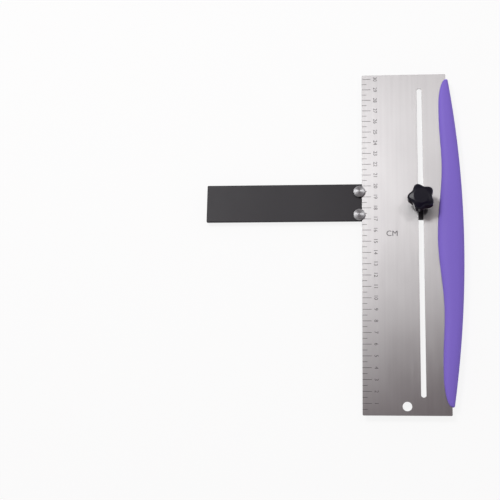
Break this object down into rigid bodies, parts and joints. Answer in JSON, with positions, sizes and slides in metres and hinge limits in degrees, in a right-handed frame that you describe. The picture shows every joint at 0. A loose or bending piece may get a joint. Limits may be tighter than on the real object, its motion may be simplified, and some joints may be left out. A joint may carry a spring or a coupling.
{
  "type": "adjustable cake scraper",
  "caption": "Ruled steel cake scraper with a moulded side handle and a smoothing arm that slides along a slot in the blade and is clamped by a star knob.",
  "frame": {"origin": "middle of the blade's foot edge, at half the blade's thickness", "axes": "+X across the blade towards the handle, +Y up the blade from its foot edge, +Z out of the ruled face"},
  "size_m": [0.222, 0.3037, 0.0272],
  "materials": {
    "blade_steel": "satin stainless sheet, brushed along its length",
    "handle_violet": "moulded plastic with a soft sheen",
    "arm_black": "flat satin plastic",
    "knob_black": "glossy moulded plastic",
    "rivet_steel": "polished",
    "fastener_steel": "bright zinc plate",
    "insert_brass": "machined",
    "scale_black": "dark etched ruler marks"
  },
  "bodies": {
    "blade": {"blade": "blade_steel", "handle_front_shell": "handle_violet", "handle_rear_shell": "handle_violet", "handle_screw_lower": "fastener_steel", "handle_screw_middle": "fastener_steel", "handle_screw_upper": "fastener_steel"},
    "arm": {"arm": "arm_black", "guide_rivet_lower": "rivet_steel", "guide_rivet_upper": "rivet_steel", "rivet_washer_lower": "rivet_steel", "rivet_washer_upper": "rivet_steel", "clamp_bolt": "fastener_steel"},
    "washer": {"clamp_washer": "fastener_steel"},
    "knob": {"star_knob": "knob_black", "knob_insert": "insert_brass"}
  },
  "joints": [
    {"name": "arm_slide", "type": "slide", "parent": "blade", "child": "arm", "axis": [0, 1, 0], "range_m": [-0.167, 0.1037]},
    {"name": "knob_lift", "type": "slide", "parent": "arm", "child": "washer", "axis": [0, 0, 1], "range_m": [0, 0.00141]},
    {"name": "knob_turn", "type": "hinge", "parent": "washer", "child": "knob", "pos_m": [0.01355, 0.1843, 0.002], "axis": [0, 0, 1], "range_deg": [0, 720]}
  ],
  "couplings": [
    {"joint": "knob_lift", "follows": "knob_turn", "m_per_rad": 0.00011141}
  ]
}
